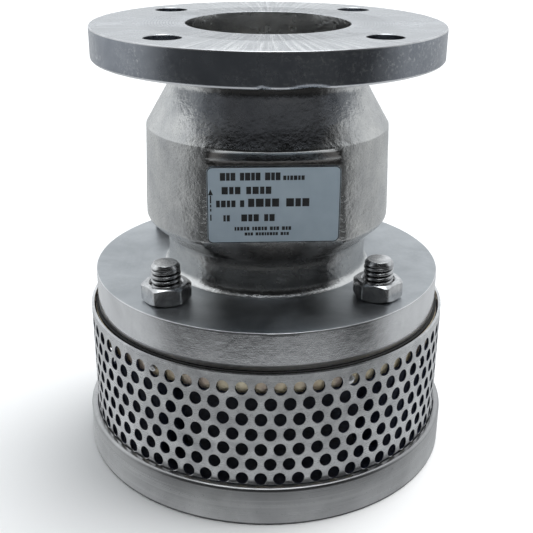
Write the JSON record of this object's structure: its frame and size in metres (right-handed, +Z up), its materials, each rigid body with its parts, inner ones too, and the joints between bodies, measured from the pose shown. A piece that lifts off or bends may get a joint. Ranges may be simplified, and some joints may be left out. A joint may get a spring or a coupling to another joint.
{
  "type": "foot valve",
  "caption": "Flanged stainless foot valve: a bulged casting with a spring-loaded poppet check valve inside, bolted on a round perforated suction strainer.",
  "frame": {"origin": "centre of the strainer base's lower face, on the valve's axis", "axes": "+Z up the valve's axis towards the outlet flange; the nameplate faces -Y; +X to the right of the nameplate; flange holes at 45 degrees to X and Y"},
  "size_m": [0.2166, 0.2166, 0.246],
  "materials": {
    "cast_stainless": "fine grainy cast stainless steel with machined flange faces",
    "machined_stainless": "turned stainless steel with fine horizontal lines",
    "perforated_stainless": "rolled and punched stainless sheet, lightly rubbed",
    "turned_stainless": "turned stainless steel",
    "fastener_steel": "dark bright-edged fasteners",
    "bronze": "dull cast bronze",
    "spring_steel": "drawn spring wire",
    "black_rubber": "matt moulded rubber",
    "gasket_fibre": "compressed fibre sheet",
    "label_foil": null
  },
  "bodies": {
    "valve": {"valve_body": "cast_stainless", "nameplate": "label_foil", "body_gasket": "gasket_fibre", "seat_plate": "bronze", "upper_guide_bushing": "bronze", "lower_guide_bushing": "bronze", "poppet_spring": "spring_steel", "strainer_screen": "perforated_stainless", "strainer_base": "machined_stainless", "clamp_bolt_1": "fastener_steel", "clamp_bolt_2": "fastener_steel", "clamp_bolt_3": "fastener_steel", "clamp_bolt_4": "fastener_steel", "clamp_nut_1": "fastener_steel", "clamp_nut_2": "fastener_steel", "clamp_nut_3": "fastener_steel", "clamp_nut_4": "fastener_steel"},
    "poppet": {"poppet_disc": "turned_stainless", "poppet_stem": "turned_stainless", "seat_seal": "black_rubber", "seal_retainer": "turned_stainless", "retainer_nut": "fastener_steel"}
  },
  "joints": [
    {"name": "poppet_lift", "type": "slide", "parent": "valve", "child": "poppet", "axis": [0, 0, 1], "range_m": [0, 0.02], "stiffness_N_per_m": 600, "springref_m": -0.02, "deforming": ["poppet_spring"]}
  ]
}
